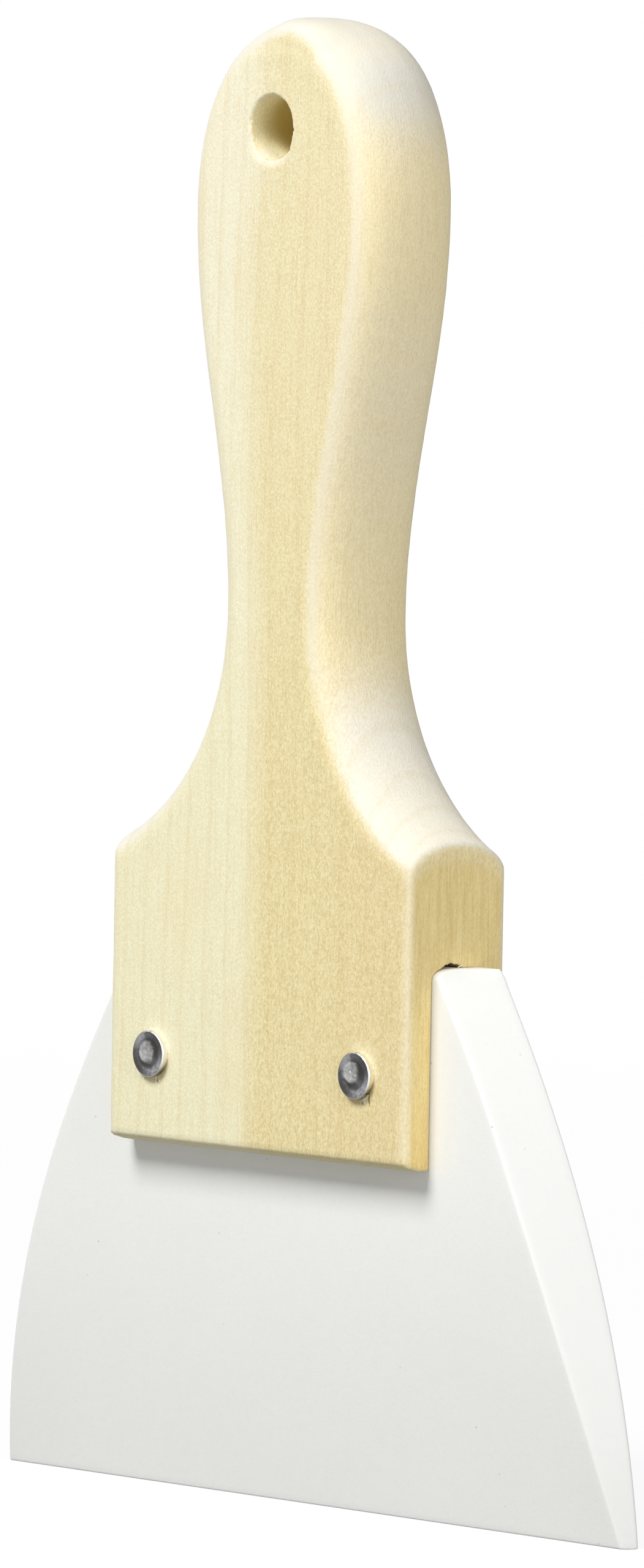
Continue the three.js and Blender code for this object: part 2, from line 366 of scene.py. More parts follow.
def wood_material():
    s = Shader("wood")
    mm = s.millimetres()
    x, _, z = s.add("SeparateXYZ", {0: mm}).outputs
    warp = s.grain(mm, (0.04, 0.04, 0.009))
    sway = s.math("MULTIPLY", s.math("SUBTRACT", warp, 0.5), 9.0)
    # Growth rings round a heart beside the handle, so they stand upright on the front
    heart = s.add("VectorMath", {0: mm, 1: (52.0, -1.0, 0.0)}, operation="SUBTRACT").outputs[0]
    radius = s.add("VectorMath", {0: s.scaled(heart, (1, 1, 0.0))}, operation="LENGTH").outputs[1]
    ring = s.math("FRACT", s.math("MULTIPLY", s.math("ADD", radius, sway), 0.22))
    late = s.math("MULTIPLY", s.rise(ring, 0.62, 0.9), s.math("SUBTRACT", 1.0, s.rise(ring, 0.9, 0.99)))
    # Pale sapwood to the left of one ring, yellower and deeper to its right and towards the block
    across = s.math("ADD", x, sway)
    low = s.math("SUBTRACT", 1.0, s.rise(z, 80.0, 195.0))
    sap = s.mix(low, (0.845, 0.81, 0.62, 1), (0.865, 0.83, 0.58, 1))
    deep = s.mix(low, (0.805, 0.735, 0.475, 1), (0.84, 0.75, 0.435, 1))
    grip = s.math("SUBTRACT", s.rise(z, 125.0, 150.0), s.rise(z, 178.0, 196.0))
    heartwood = s.rise(s.math("ADD", across, s.math("MULTIPLY", grip, 3.0)), -6.0, 1.5)
    colour = s.mix(heartwood, sap, deep)
    colour = s.mix(s.math("MULTIPLY", s.rise(across, 8.0, 30.0), 0.5), colour, (0.81, 0.675, 0.39, 1))
    cloud = s.grain(mm, (0.11, 0.11, 0.03), 3.0)
    colour = s.mix(s.math("MULTIPLY", s.rise(cloud, 0.5, 0.75), 0.3), colour, (0.84, 0.70, 0.41, 1))
    colour = s.mix(s.math("MULTIPLY", late, 0.16), colour, (0.72, 0.57, 0.30, 1))
    # Edge grain is pinker and cross-cut wood paler
    colour = s.mix(s.math("MULTIPLY", s.attribute("side"), 0.7), colour, (0.99, 0.865, 0.545, 1))
    colour = s.mix(s.math("MULTIPLY", s.attribute("band"), 0.8), colour, (0.94, 0.80, 0.44, 1))
    across_grain = s.attribute("cross")
    ends = s.mix(s.rise(z, 180.0, 205.0), (0.835, 0.80, 0.69, 1), (0.76, 0.74, 0.655, 1))
    cross = s.mix(s.math("MULTIPLY", late, 0.25), ends, (0.75, 0.65, 0.46, 1))
    colour = s.mix(across_grain, colour, cross)
    # Fibres, sanded speckle and short flecks, fainter in the sapwood and where the wood is cut across
    cut = s.math("MAXIMUM", across_grain, s.math("MULTIPLY", s.attribute("side"), 0.4))
    plain = s.add("MapRange", {0: cut, 3: 1.0, 4: 0.3}).outputs[0]
    calm = s.math("MULTIPLY", plain, s.add("MapRange", {0: heartwood, 3: 0.62, 4: 1.0}).outputs[0])
    fibre = s.grain(mm, (3.0, 3.0, 0.16), 3.0, 0.65)
    amount = s.math("MULTIPLY", s.math("MULTIPLY", s.rise(fibre, 0.48, 0.7), 0.34), calm)
    colour = s.mix(amount, colour, (0.70, 0.54, 0.26, 1))
    speck = s.grain(mm, (3.4, 3.4, 2.2), 3.0, 0.7)
    tone = s.mix(s.rise(speck, 0.34, 0.66), (0.92, 0.875, 0.80, 1), (1.05, 1.06, 1.10, 1))
    colour = s.mix(calm, colour, s.mix(1.0, colour, tone, "MULTIPLY"))
    blot = s.grain(mm, (2.5, 2.5, 1.3), 5.0, 0.8)
    dirty = s.add("MapRange", {0: heartwood, 3: 0.12, 4: 0.55}).outputs[0]
    amount = s.math("MULTIPLY", s.rise(blot, 0.45, 0.62), dirty)
    amount = s.math("MULTIPLY", amount, s.math("MULTIPLY", calm, low))
    colour = s.mix(amount, colour, (0.60, 0.475, 0.19, 1))
    fleck = s.cells(mm, (2.2, 2.2, 0.9)).outputs["Distance"]
    pore = s.math("SUBTRACT", 1.0, s.rise(fleck, 0.06, 0.26))
    amount = s.math("MULTIPLY", s.math("MULTIPLY", pore, 0.32), calm)
    colour = s.mix(amount, colour, (0.64, 0.48, 0.21, 1))
    # Edges worn pale, painted light and shade, the sawn block sides, and the cut insides of hole and
    # slot
    colour = s.mix(s.math("MULTIPLY", s.attribute("worn"), 0.55), colour, (0.835, 0.78, 0.63, 1))
    # A painted pool of light above right of each rivet head, where its rim throws light
    colour = s.mix(s.math("MULTIPLY", s.attribute("painted_light_pool"), 0.2), colour, (0.95, 0.92, 0.78, 1))
    # Dirt and a painted shadow below right of each rivet head
    colour = s.mix(s.math("MULTIPLY", s.attribute("dirt_and_shadow"), 0.5), colour, (0.60, 0.46, 0.19, 1))
    # Painted shade darkens the splits
    colour = s.mix(s.attribute("crack"), colour, (0.50, 0.36, 0.12, 1))
    streak = s.grain(mm, (1.3, 1.3, 0.07), 5.0, 0.7)
    sawn = s.mix(s.rise(streak, 0.3, 0.7), (0.93, 0.77, 0.385, 1), (0.83, 0.655, 0.285, 1))
    sawn = s.mix(s.math("SUBTRACT", 0.9, s.rise(z, 50.0, 66.0)), sawn, (0.82, 0.62, 0.25, 1))
    sawn = s.mix(s.math("MULTIPLY", s.rise(fibre, 0.45, 0.7), 0.4), sawn, (0.66, 0.48, 0.19, 1))
    sawn = s.mix(0.7, sawn, s.mix(1.0, sawn, tone, "MULTIPLY"))
    sawn = s.mix(s.math("MULTIPLY", pore, 0.22), sawn, (0.60, 0.44, 0.18, 1))
    ragged = s.math("MULTIPLY", s.math("SUBTRACT", speck, 0.5), 0.9)
    ragged = s.rise(s.math("ADD", s.attribute("sawn"), ragged), 0.2, 0.8)
    colour = s.mix(ragged, colour, sawn)
    colour = s.mix(s.attribute("bore"), colour, s.mix(1.0, (0.94, 0.87, 0.57, 1), tone, "MULTIPLY"))
    # Painted shade deeper inside the hang hole
    colour = s.mix(s.attribute("bore_deep_shade"), colour, (0.68, 0.54, 0.21, 1))
    # Painted shade under the slot's roof
    colour = s.mix(s.attribute("slot"), colour, (0.30, 0.20, 0.08, 1))
    # Painted shade on the cheeks' downward-facing lower ends
    colour = s.mix(s.math("MULTIPLY", s.attribute("underside_shade"), 0.7), colour, (0.50, 0.45, 0.28, 1))
    height = s.math("ADD", s.math("MULTIPLY", fibre, 0.6), speck)
    rough = s.add("MapRange", {0: speck, 3: 0.62, 4: 0.8}).outputs[0]
    surface = s.add("BsdfPrincipled", {"Base Color": colour, "Roughness": rough,
                                       "Specular IOR Level": 0.25})
    return s.finish(surface, height, 0.00008)


def torn_material():
    s = Shader("torn_wood")
    mm = s.millimetres()
    strand = s.grain(mm, (4.0, 4.0, 0.8), 2.0, 0.6)
    colour = s.mix(s.rise(strand, 0.35, 0.65), (0.95, 0.92, 0.74, 1), (0.87, 0.78, 0.51, 1))
    surface = s.add("BsdfPrincipled", {"Base Color": colour, "Roughness": 0.75,
                                       "Specular IOR Level": 0.2})
    return s.finish(surface, strand, 0.00005)


def silicone_material():
    s = Shader("silicone")
    mm = s.millimetres()
    cloud = s.grain(mm, (0.06, 0.06, 0.06), 3.0)
    colour = s.mix(cloud, (0.845, 0.85, 0.82, 1), (0.875, 0.88, 0.855, 1))
    mottle = s.grain(mm, (1.6, 1.6, 1.6), 3.0, 0.6)
    colour = s.mix(s.math("MULTIPLY", s.rise(mottle, 0.45, 0.75), 0.25), colour, (0.795, 0.80, 0.775, 1))
    # Painted shade on the blade's sides
    colour = s.mix(s.math("MULTIPLY", s.attribute("flank_shade"), 0.5), colour, (0.775, 0.78, 0.76, 1))
    for size, share, depth in BLADE_DUST:
        dust = s.cells(mm, (size, size, size))
        near = s.math("SUBTRACT", 1.0, s.rise(dust.outputs["Distance"], size * 0.07, size * 0.22))
        kept = s.rise(s.add("SeparateColor", {0: dust.outputs["Color"]}).outputs[0], share, share + 0.02)
        amount = s.math("MULTIPLY", s.math("MULTIPLY", near, kept), depth)
        colour = s.mix(amount, colour, (0.28, 0.27, 0.22, 1))
    surface = s.add("BsdfPrincipled", {
        "Base Color": colour, "Roughness": 0.42, "Specular IOR Level": 0.35,
        "Subsurface Weight": 0.15, "Subsurface Radius": (1.0, 0.95, 0.9),
        "Subsurface Scale": 0.0015})
    fine = s.grain(mm, (4.5, 4.5, 4.5), 2.0, 0.6)
    return s.finish(surface, fine, 0.00002)


def rivet_material():
    s = Shader("rivet")
    mm = s.millimetres()
    face = s.attribute("face")
    patch = s.grain(mm, (0.8, 0.8, 0.8), 3.0, 0.6)
    grit = s.grain(mm, (5.0, 5.0, 5.0), 3.0, 0.7)
    # Painted highlight lobes lighten the dark face
    painted_glint = s.math("MULTIPLY", s.attribute("painted_glint"), s.rise(patch, 0.2, 0.6))
    dull = s.mix(painted_glint, (0.075, 0.073, 0.072, 1), (0.40, 0.40, 0.425, 1))
    disc = s.mix(s.rise(patch, 0.35, 0.65), (0.25, 0.25, 0.245, 1), (0.44, 0.44, 0.43, 1))
    dull = s.mix(s.attribute("disc"), dull, disc)
    # Painted shade darkens the groove round the disc
    dull = s.mix(s.math("MULTIPLY", s.attribute("groove"), 0.8), dull, (0.05, 0.048, 0.046, 1))
    dull = s.mix(s.math("MULTIPLY", s.rise(grit, 0.5, 0.72), 0.4), dull, (0.06, 0.056, 0.052, 1))
    # Painted highlight on the rim and wall, bright towards the upper right and dark towards the left
    rim_light = s.math("MULTIPLY", s.rise(s.attribute("painted_glint"), 0.1, 0.8), s.rise(patch, 0.2, 0.45))
    polished = s.mix(rim_light, (0.30, 0.29, 0.27, 1), (0.92, 0.91, 0.89, 1))
    colour = s.mix(face, polished, dull)
    rough = s.add("MapRange", {0: face, 3: 0.14, 4: 0.52}).outputs[0]
    surface = s.add("BsdfPrincipled", {"Base Color": colour, "Metallic": 1.0, "Roughness": rough})
    return s.finish(surface, s.math("MULTIPLY", grit, face), 0.00008)


def arch_height(y, side):
    """Height at which the flare runs out on a block side, at a depth y."""
    inset = EDGE_ROUND_DEPTH * (1 - np.sqrt(np.clip(1 - (y / STOCK_HALF) ** 2, 0.0, 1.0)))
    reach = FLARE_CENTRES[side] - BLOCK_HALF
    return NECK_HEIGHT - np.sqrt((FLARE_RADIUS + inset) ** 2 - reach ** 2)


def near_hole(co):
    return (abs(co.x - HOLE_CENTRE[0]) < HOLE_ZONE and abs(co.z - HOLE_CENTRE[1]) < HOLE_ZONE
            and abs(co.y) > 7.5)


def near_gap(co):
    return co.x > 27.0 and abs(co.y) < 5.2 and 76.5 < co.z < 85.0


def near_rivet_cracks(co):
    return 19.5 < abs(co.x) < 26.0 and co.y < -9.0 and 57.5 < co.z < 62.4


def sand_handle(mesh):
    """Takes the facets off the grip and flare and softens every edge a little."""
    points = points_of(mesh)
    edges = edges_of(mesh)
    x, y, z = points.T
    hole = np.hypot(x - HOLE_CENTRE[0], z - HOLE_CENTRE[1])
    weight = smoothstep(5.0, 6.5, hole)
    on_side = smoothstep(BLOCK_HALF - 0.5, BLOCK_HALF - 0.1, np.abs(x)) * (z < BLOCK_TOP)
    arch = np.where(x > 0, arch_height(y, 1), arch_height(y, -1))
    on_side = on_side * smoothstep(0.5, 3.0, arch - z)
    weight = weight * (1 - on_side)
    in_slot = (np.abs(y) < SLOT_REACH) & (z < SLOT_TOP)
    weight[in_slot | (z < FOOT_TOP)] = 0.0
    points = relax(points, edges, weight, 40)
    soften = 0.6 * smoothstep(4.8, 5.6, hole)
    soften[(np.abs(y) < SLOT_REACH - 0.5) & (z < SLOT_TOP)] = 0.0
    soften[z < FOOT_TOP + 0.5] = 0.0
    points = relax(points, edges, soften, 3)
    put_points(mesh, points)


def crown_outline():
    """Front outline of the crown from its right side over the top to its left, with normals."""
    share = np.linspace(0.0, 1.0, 160)[:, None]
    height = CROWN_TOP - CROWN_BASE
    corners = np.array([(GRIP_HALF, CROWN_BASE), (GRIP_HALF, CROWN_BASE + CROWN_PULL * height),
                        (CROWN_PULL * GRIP_HALF, CROWN_TOP), (0.0, CROWN_TOP)])
    weights = ((1 - share) ** 3, 3 * share * (1 - share) ** 2, 3 * share ** 2 * (1 - share), share ** 3)
    right = sum(weight * corner for weight, corner in zip(weights, corners))
    curve = np.vstack((right, (right * (-1, 1))[-2::-1]))
    tangent = np.gradient(curve, axis=0)
    normals = np.stack((tangent[:, 1], -tangent[:, 0]), axis=1)
    normals /= np.hypot(normals[:, 0], normals[:, 1])[:, None]
    return curve + (GRIP_OFFSET, 0.0), normals


def square_crown(points):
    """The crown's front edge, which turns more tightly at the top than at the shoulders."""
    moved = points.copy()
    high = np.flatnonzero(points[:, 2] > CROWN_BASE)
    x, y, z = points[high].T
    curve, normals = crown_outline()
    away = np.hypot(x[:, None] - curve[:, 0], z[:, None] - curve[:, 1])
    nearest = away.argmin(axis=1)
    out = normals[nearest]
    p = np.clip(1 - away.min(axis=1) / EDGE_ROUND_DEPTH, 0.0, 1.0)
    q = np.abs(y) / STOCK_HALF
    squarer = smoothstep(0.78, 1.0, out[:, 1]) * smoothstep(-4.0, 4.0, x) * (y < 0)
    power = 2 + CROWN_SQUARENESS * squarer
    factor = np.hypot(p, q) / np.maximum(p ** power + q ** power, 1e-9) ** (1 / power)
    step = EDGE_ROUND_DEPTH * p * (factor - 1)
    moved[high, 0] += step * out[:, 0]
    moved[high, 2] += step * out[:, 1]
    moved[high, 1] *= factor
    return moved


def thin_bevels(points):
    """The bevels under the two cheeks, cut thinner towards the front and back."""
    depth, z = np.abs(points[:, 1]), points[:, 2]
    share = np.clip((depth - BEVEL_INNER) / (STOCK_HALF - BEVEL_INNER), 0.0, 1.0)
    moved = points.copy()
    moved[:, 2] -= BEVEL_DROP * share * (1 - smoothstep(BEVEL_TOP, BEVEL_TOP + 3.0, z))
    return moved


def trim_hole(points):
    """The hang hole's wall and rims cut crisp."""
    x, y, z = points.T
    across, up = x - HOLE_CENTRE[0], z - HOLE_CENTRE[1]
    reach = np.maximum(np.hypot(across, up), 0.1)
    past = reach - HOLE_RIM_RADIUS
    depth = STOCK_HALF - np.abs(y)
    wall = (past < 0.9) & (depth > np.maximum(past, 0.0))
    face = (past < 1.2) & (depth < 1.0) & ~wall
    scale = np.where(wall, HOLE_RIM_RADIUS / reach, 1.0)
    moved = points.copy()
    moved[:, 0] = HOLE_CENTRE[0] + across * scale
    moved[:, 2] = HOLE_CENTRE[1] + up * scale
    moved[face, 1] = np.sign(y[face]) * STOCK_HALF
    return moved


def fray_hole(points):
    """A few chips round the hang hole's rims, and the lower lip worn down."""
    x, y, z = points.T
    across, up = x - HOLE_CENTRE[0], z - HOLE_CENTRE[1]
    reach = np.maximum(np.hypot(across, up), 0.1)
    depth = STOCK_HALF - np.abs(y)
    near = np.exp(-((reach - HOLE_RIM_RADIUS) / 0.35) ** 2 - (depth / 0.35) ** 2)
    wide = np.exp(-((reach - HOLE_RIM_RADIUS) / 1.0) ** 2 - (depth / LIP_DEPTH) ** 2)
    turn = np.degrees(np.arctan2(up, across))
    chip = np.zeros(len(points))
    for angle, width, deep in HOLE_CHIPS:
        off = (turn - angle + 180) % 360 - 180
        chip += deep * np.exp(-(off / width) ** 2)
    fuzz = 0.05 * ripple(points, 0.25, 4)
    low = smoothstep(0.1, 0.9, -up / reach)
    size = near * (chip + fuzz) + LIP_WEAR * wide * low
    moved = points.copy()
    moved[:, 0] += size * across / reach
    moved[:, 2] += size * up / reach
    moved[:, 1] -= np.sign(y) * size * 0.5
    return moved


def close_slot(points):
    """The cheeks squeezed on to the blade by the rivets."""
    y, z = points[:, 1], points[:, 2]
    moved = points.copy()
    moved[:, 1] -= np.sign(y) * CHEEK_SQUEEZE * (1 - smoothstep(4.8, 7.0, np.abs(y))) * (z < 79.0)
    return moved


def open_gap(points):
    """A ragged lens over the blade's top at the right end of the slot."""
    x, y, z = points.T
    lens = np.clip(1 - ((y + 0.7) / 2.1) ** 2, 0, 1)
    run = smoothstep(26.0, 31.0, x)
    roof = smoothstep(78.6, 79.3, z) * (1 - smoothstep(79.6, 84.5, z))
    lift = GAP_LIFT * lens * run * roof * (1 + 0.5 * ripple(points, 0.6, 8))
    moved = points.copy()
    moved[:, 2] += lift
    return moved


def crack_share(points, crack):
    """How far each point of the front face lies inside one split, from 0 to 1."""
    x, y, z = points.T
    x0, z0, x1, z1, half, _ = crack
    run = np.array([x1 - x0, z1 - z0])
    along = np.clip(((x - x0) * run[0] + (z - z0) * run[1]) / (run @ run), 0.0, 1.0)
    off = np.hypot(x - x0 - along * run[0], z - z0 - along * run[1])
    taper = np.sin(pi * np.clip(0.15 + 0.85 * along, 0.0, 1.0))
    return np.where(y < -8.8, taper * (1 - smoothstep(0.0, 1.0, off / half)), 0.0)


def open_cracks(points):
    """Splits in the front face where the rivets' heads were set."""
    moved = points.copy()
    for crack in CRACKS:
        moved[:, 1] += crack[-1] * crack_share(points, crack)
    return moved


def handle_mesh():
    mesh = dense_copy("handle", WOOD_VOXEL)
    sand_handle(mesh)
    subdivide_where(mesh, near_hole, 2)
    subdivide_where(mesh, near_gap, 2)
    subdivide_where(mesh, near_rivet_cracks, 3)
    points = points_of(mesh)
    normals = normals_of(mesh)
    split = np.max([crack_share(points, crack) for crack in CRACKS], axis=0)
    points = thin_bevels(square_crown(points))
    points = open_cracks(open_gap(close_slot(fray_hole(trim_hole(points)))))
    wave = SANDING_WAVE * ripple(points, 9.0, 1) + SANDING_RIPPLE * ripple(points, 2.0, 2)
    inner = (np.abs(points[:, 1]) < SLOT_REACH) & (points[:, 2] < SLOT_TOP)
    points = points + normals * (np.where(inner, 0.0, wave) - SANDING_LOSS)[:, None]
    points = np.clip(points, np.array(cad_low) / MM, np.array(cad_high) / MM)
    put_points(mesh, points)
    mark_handle(mesh)
    # The splits' painted shade, for the material
    put_attribute(mesh, "crack", smoothstep(0.25, 0.9, split))
    return mesh


def mark_handle(mesh):
    """Where the wood is worn, sawn or cut open, and where light and shade are painted on it, for its
    material.
    """
    points = points_of(mesh)
    normals = normals_of(mesh)
    edges = edges_of(mesh)
    x, y, z = points.T
    degree = np.maximum(np.bincount(edges.ravel(), minlength=len(points)), 1)
    bulge = -np.sum((mean_of_neighbours(points, edges, degree) - points) * normals, axis=1)
    bulge = bulge[:, None]
    for _ in range(3):
        bulge = mean_of_neighbours(bulge, edges, degree)
    lean = np.abs(normals[:, 0])
    edge = smoothstep(0.12, 0.4, lean) * (1 - smoothstep(0.6, 0.9, lean))
    edge = edge * smoothstep(EDGE_WEAR_LOW, EDGE_WEAR_HIGH, z)
    worn = smoothstep(0.015, 0.06, bulge[:, 0]) * smoothstep(BEVEL_TOP, BEVEL_TOP + 2.0, z)
    put_attribute(mesh, "worn", np.maximum(worn, edge))
    put_attribute(mesh, "side", smoothstep(0.4, 0.85, lean))
    hole = np.hypot(x - HOLE_CENTRE[0], z - HOLE_CENTRE[1])
    in_hole = 1 - smoothstep(4.9, 5.3, hole)
    cross = smoothstep(0.05, 0.5, np.abs(normals[:, 2])) * (z > CROSS_GRAIN_LOW)
    put_attribute(mesh, "cross", cross * (1 - in_hole))
    sawn = np.zeros(len(points))
    band = np.zeros(len(points))
    for side in (1, -1):
        flat = smoothstep(BLOCK_HALF - 0.35, BLOCK_HALF - 0.12, side * x)
        band += flat * (z < BLOCK_TOP)
        below = smoothstep(1.0, 4.6, arch_height(y, side) - z)
        sawn += flat * below * smoothstep(0.5, 2.2, STOCK_HALF - np.abs(y))
    put_attribute(mesh, "sawn", sawn)
    put_attribute(mesh, "band", band)
    lip = smoothstep(-0.2, 0.9, (HOLE_CENTRE[1] - z) / HOLE_RADIUS)
    depth = STOCK_HALF - np.abs(y)
    put_attribute(mesh, "bore", in_hole * smoothstep(lip - 0.1, 0.5 + 4.5 * lip, depth))
    # Painted shade deeper inside the hang hole
    put_attribute(mesh, "bore_deep_shade", in_hole * smoothstep(2.2 + 1.5 * lip, 5.6 + 2.5 * lip, depth))
    painted_light_pool, dirt_and_shadow = np.zeros(len(points)), np.zeros(len(points))
    for across in RIVET_XS.values():
        dx, dz = x - across, z - RIVET_HEIGHT
        reach = np.maximum(np.hypot(dx, dz), 0.1)
        beside = np.maximum(reach - RIVET_HEAD_RADIUS, 0.0)
        # A painted pool of light above right of the head, where its rim throws light
        painted_light_pool += np.exp(-(beside / 1.2) ** 2) * smoothstep(0.0, 0.9, (0.7 * dx + 0.7 * dz) / reach)
        # Dirt and a painted shadow below right of the head
        dirt_and_shadow += np.exp(-(beside / 0.8) ** 2) * smoothstep(0.1, 0.9, (0.5 * dx - 0.87 * dz) / reach)
    put_attribute(mesh, "painted_light_pool", painted_light_pool * (y < -9.0))
    put_attribute(mesh, "dirt_and_shadow", dirt_and_shadow * (y < -9.0))
    # Painted shade on the cheeks' downward-facing lower ends
    put_attribute(mesh, "underside_shade", smoothstep(0.3, 0.8, -normals[:, 2]) * (z < 55.0))
    # Painted shade under the slot's roof
    inside = smoothstep(0.3, 1.2, BLOCK_HALF - np.abs(x))
    roof = smoothstep(78.0, 78.8, z) * (z < 81.5)
    put_attribute(mesh, "slot", (1 - smoothstep(4.2, 4.6, np.abs(y))) * roof * inside)


def add_sliver(points, faces, root, tip, width):
    """A flat tapered splinter, running straight from its root to its tip."""
    sides, rings = 6, 7
    root, tip = Vector(root), Vector(tip)
    run = (tip - root).normalized()
    out = Vector((0, -1, 0)) if abs(run.y) < 0.7 else Vector((1, 0, 0))
    flat = run.cross(out).normalized()
    base = len(points)
    for ring in range(rings):
        t = ring / (rings - 1)
        middle = root.lerp(tip, t)
        size = width / 2 * sin(pi * (0.3 + 0.55 * t)) * (1 + 0.25 * noise.noise(middle * 3.1))
        for k in range(sides):
            turn = tau * k / sides
            points.append(middle + flat * size * cos(turn) + out * size * 0.18 * sin(turn))
    for ring in range(rings - 1):
        for k in range(sides):
            a, b = base + ring * sides + k, base + ring * sides + (k + 1) % sides
            faces.append((a, b, b + sides, a + sides))
    faces.append(tuple(base + k for k in range(sides)))
    faces.append(tuple(base + (rings - 1) * sides + k for k in range(sides)))


def splinters_mesh():
    """Torn fibres at the rivets, the slot and the lower wall of the hang hole."""
    points, faces = [], []
    for root, tip, width in SLIVERS:
        add_sliver(points, faces, root, tip, width)
    draw = random.Random(5)
    for _ in range(HOLE_FIBRES):
        turn = radians(draw.uniform(-125, -30))
        depth = draw.uniform(0.3, 4.0)
        worn_lip = LIP_WEAR * max(0.0, -sin(turn)) * float(np.exp(-(depth / LIP_DEPTH) ** 2))
        wall = HOLE_RADIUS + 0.06 + worn_lip
        across, up = wall * cos(turn), wall * sin(turn)
        root = Vector((HOLE_CENTRE[0] + across, depth - STOCK_HALF, HOLE_CENTRE[1] + up))
        rise = draw.uniform(0.08, 0.3)
        aside = draw.uniform(-0.2, 0.2)
        along = draw.uniform(-0.4, 0.4)
        lean = Vector((-cos(turn) * rise + aside, along, -sin(turn) * rise))
        add_sliver(points, faces, root, root + lean, draw.uniform(0.06, 0.12))
    return mesh_from("handle_splinters", points, faces)


def blade_half_width(z):
    share = z / BLADE_HEIGHT
    straight = (BLADE_EDGE_WIDTH + (BLADE_TOP_WIDTH - BLADE_EDGE_WIDTH) * share) / 2
    return straight + 4 * BLADE_SIDE_BOW * share * (1 - share)


def blade_lean(z):
    share = z / BLADE_HEIGHT
    slope = ((BLADE_TOP_WIDTH - BLADE_EDGE_WIDTH) / 2
             + 4 * BLADE_SIDE_BOW * (1 - 2 * share)) / BLADE_HEIGHT
    return BLADE_SIDE_DRAFT * (1 + slope * slope) ** 0.5


def blade_front(z):
    """Depth of the blade's front at a height."""
    sweep = max(0.0, 1 - z / BLADE_SWEEP_HEIGHT)
    front = -BLADE_HALF + (2 * BLADE_HALF - BLADE_EDGE_THICKNESS) * sweep ** 2
    spring = BLADE_HEIGHT - BLADE_TOP_ROUND_HEIGHT
    if z > spring:
        share = min(1.0, (z - spring) / BLADE_TOP_ROUND_HEIGHT)
        front += BLADE_TOP_ROUND_DEPTH * (1 - (1 - share * share) ** 0.5)
    return front


def corner_arc(corner, before, after, radius, steps):
    """A corner of a ring rounded off between the directions to its neighbours."""
    first = (before - corner).normalized() * radius
    last = (after - corner).normalized() * radius
    arc = []
    for step in range(steps + 1):
        t = step / steps
        arc.append(corner + first * (1 - t) ** 2 + last * t ** 2)
    return arc


def blade_ring(z, inset, radius):
    """One level of the blade, anticlockwise from the back right corner."""
    front = blade_front(z) + inset
    back = BLADE_HALF - inset
    wide = blade_half_width(z) - inset
    narrow = wide - blade_lean(z) * (back - front)
    corners = [Vector((wide, back)), Vector((-wide, back)),
               Vector((-narrow, front)), Vector((narrow, front))]
    ring = []
    arcs = [corner_arc(corners[i], corners[i - 1], corners[(i + 1) % 4], radius, 4) for i in range(4)]
    for i in range(4):
        start, end = arcs[i][-1], arcs[(i + 1) % 4][0]
        ring += arcs[i]
        ring += [start.lerp(end, step / BLADE_STEPS[i]) for step in range(1, BLADE_STEPS[i])]
    return [(p.x, p.y, z) for p in ring]


def blade_levels():
    """Heights with insets: closer together at the rounded edge and top."""
    levels = []
    soft, round_top = BLADE_EDGE_SOFT, BLADE_TOP_SOFT
    shoulder = BLADE_HEIGHT - round_top
    for step in range(6):
        turn = pi / 2 * step / 6
        levels.append((soft * (1 - cos(turn)), soft * (1 - sin(turn))))
    for step in range(BLADE_LEVELS + 1):
        levels.append((soft + (shoulder - soft) * step / BLADE_LEVELS, 0.0))
    for step in range(1, 13):
        turn = pi / 2 * step / 12
        levels.append((shoulder + round_top * sin(turn), 0.25 * (1 - cos(turn))))
    return levels


def blade_mesh():
    points, faces = [], []
    rings = [blade_ring(z, inset, BLADE_CORNER_RADIUS) for z, inset in blade_levels()]
    size = len(rings[0])
    for ring in rings:
        points += ring
    for level in range(len(rings) - 1):
        base = level * size
        for k in range(size):
            n = (k + 1) % size
            faces.append((base + k, base + n, base + size + n, base + size + k))
    last = (len(rings) - 1) * size
    for base in (0, last):
        centre = len(points)
        ring = points[base:base + size]
        points.append(tuple(sum(c) / size for c in zip(*ring)))
        faces += [(base + k, base + (k + 1) % size, centre) for k in range(size)]
    grid = np.array(points)
    grid[:, 2] += BLADE_TOP_LIFT * smoothstep(BLADE_HEIGHT - 3.3, BLADE_HEIGHT - 0.3, grid[:, 2])
    mesh = mesh_from("blade_silicone", grid.tolist(), faces)
    # Where the blade's sides take painted shade
    put_attribute(mesh, "flank_shade", smoothstep(0.4, 0.8, np.abs(normals_of(mesh)[:, 0])))
    return mesh


def set_head(radius, turn, right):
    """A set head's relief below its flat face, and its marks: groove painted dark as shade, disc, and
    lobes of painted highlight as on a turned face.
    """
    x, z = radius * cos(turn), radius * sin(turn)
    from_disc = ((x + 0.45 + 0.3 * right) ** 2 + (z - 0.2 - 0.2 * right) ** 2) ** 0.5
    edge_wobble = 0.22 * noise.noise(Vector((x * 0.9, z * 0.9, 4.0 + 9.0 * right)))
    edge_wobble += 0.1 * noise.noise(Vector((x * 2.6, z * 2.6, 1.0 + 9.0 * right)))
    disc = float(1 - smoothstep(1.25, 1.85, from_disc + edge_wobble))
    ring = float(smoothstep(1.85, 2.6, radius + edge_wobble))
    drop = 0.22 * (1 - ring) * (1 - disc) + 0.04 * disc
    dents = 0.05 * noise.noise(Vector((x * 1.3, z * 1.3, 9.0 * right)))
    swirl = 0.02 * sin(3 * turn + 5 * from_disc) * disc
    pip = 0.09 * float(1 - smoothstep(0.08, 0.3, from_disc)) * right
    # Painted highlight: two opposite bright lobes, as on a turned metal face
    lobe = cos(turn + radians(52))
    painted_glint = max(0.0, lobe) ** 3 + 0.7 * max(0.0, -lobe) ** 3
    # The first mark is the groove, which takes painted shade
    return drop + dents + swirl - pip, ((1 - ring) * (1 - disc), disc, painted_glint)


